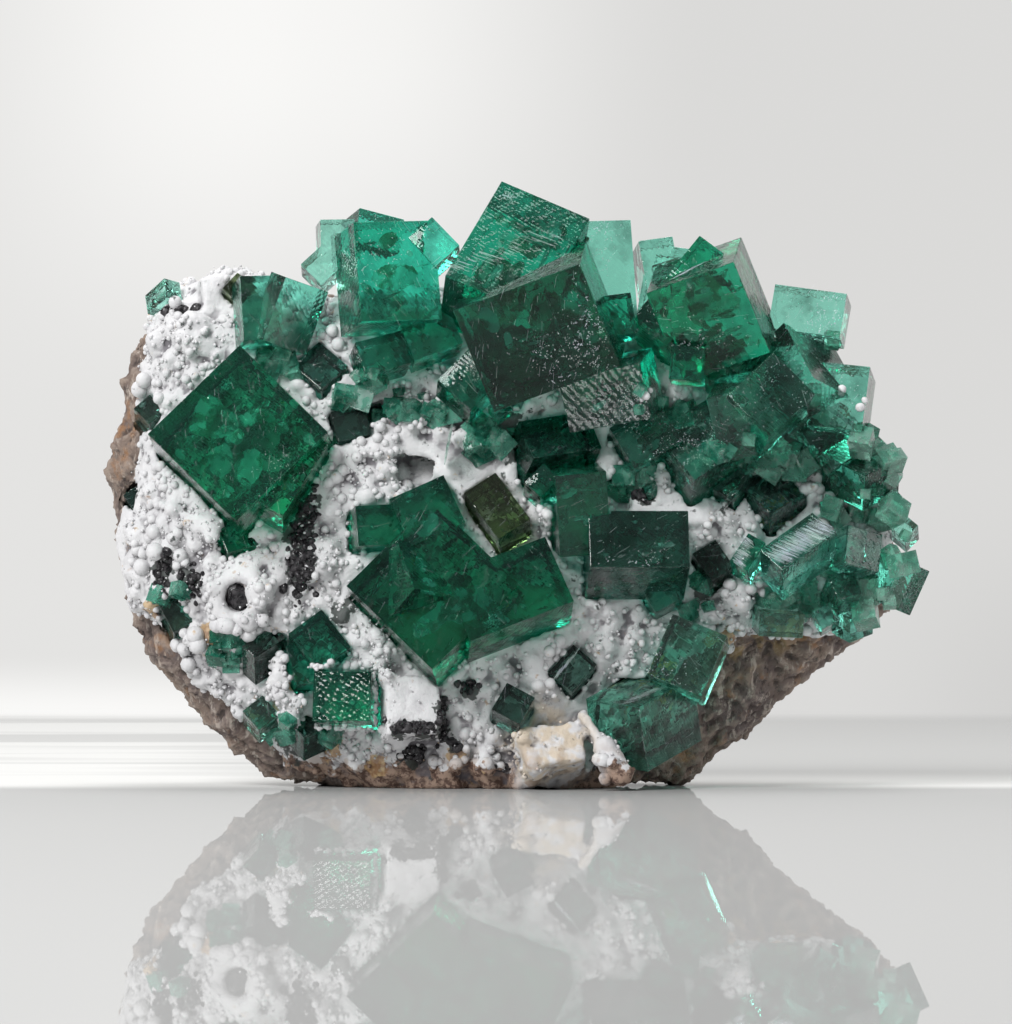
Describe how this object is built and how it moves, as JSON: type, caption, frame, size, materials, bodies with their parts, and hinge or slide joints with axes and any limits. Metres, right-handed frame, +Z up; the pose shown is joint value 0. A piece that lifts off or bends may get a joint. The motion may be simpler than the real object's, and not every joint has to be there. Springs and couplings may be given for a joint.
{
  "type": "fluorite specimen",
  "caption": "Green fluorite cubes grown on a white knobby crust over brown host rock, cut flat underneath so that it stands on a shelf.",
  "frame": {"origin": "middle of the flat cut that the specimen stands on", "axes": "+X along the specimen's width, +Y from the crystals towards the bare back of the rock, +Z up"},
  "size_m": [0.1196, 0.0528, 0.0874],
  "materials": {
    "host_rock": "rough broken grey-brown rock with rust and ochre stains",
    "crust": "matt white knobby crust",
    "deep_green": "clear deep green crystal with flat glossy faces",
    "bright_green": "clear bright green crystal with flat glossy faces",
    "pale_green": "clear pale blue-green crystal with satin faces",
    "smoky_green": "clear dark grey-green crystal with satin faces"
  },
  "bodies": {
    "root": {"matrix_rock": "host_rock", "white_crust": "crust", "crystal_left_large": "deep_green", "crystals_crown": "deep_green", "crystals_left_crown": "bright_green", "crystals_upper_right": "deep_green", "crystals_twinned": "bright_green", "crystals_right_pale": "pale_green", "crystals_cloudy": "smoky_green", "crystal_back_tall": "pale_green", "crystal_back_rough": "pale_green", "crystals_left_pale": "pale_green", "crystal_teal": "bright_green", "crystals_lower_cluster": "deep_green", "crystal_brown": "smoky_green", "crystal_pillar": "deep_green", "crystal_square": "smoky_green", "crystals_lower_right": "bright_green", "crystals_lilac": "bright_green", "crystal_lilac_small": "deep_green", "crystal_right_edge": "pale_green", "crystals_right_low": "bright_green", "crystal_right_tip": "pale_green", "crystal_framed": "deep_green", "crystals_lower_left": "deep_green", "crystal_dark_sliver": "smoky_green", "crystals_under_twins": "smoky_green", "crystal_right_cloudy": "smoky_green", "crystal_striated": "smoky_green", "crystal_slate": "smoky_green", "crystal_grey_green": "smoky_green", "crystal_in_socket": "smoky_green", "crystal_right_dark": "smoky_green", "crystal_ledge_pale": "pale_green", "crystal_small_olive": "smoky_green", "crystal_small_top": "pale_green", "crystal_small_left": "pale_green", "crystal_small_rim": "smoky_green", "crystal_small_aqua": "pale_green", "crystal_small_round": "pale_green", "crystal_small_low": "smoky_green", "crystal_small_edge": "pale_green", "crystal_small_corner": "pale_green"}
  },
  "joints": []
}
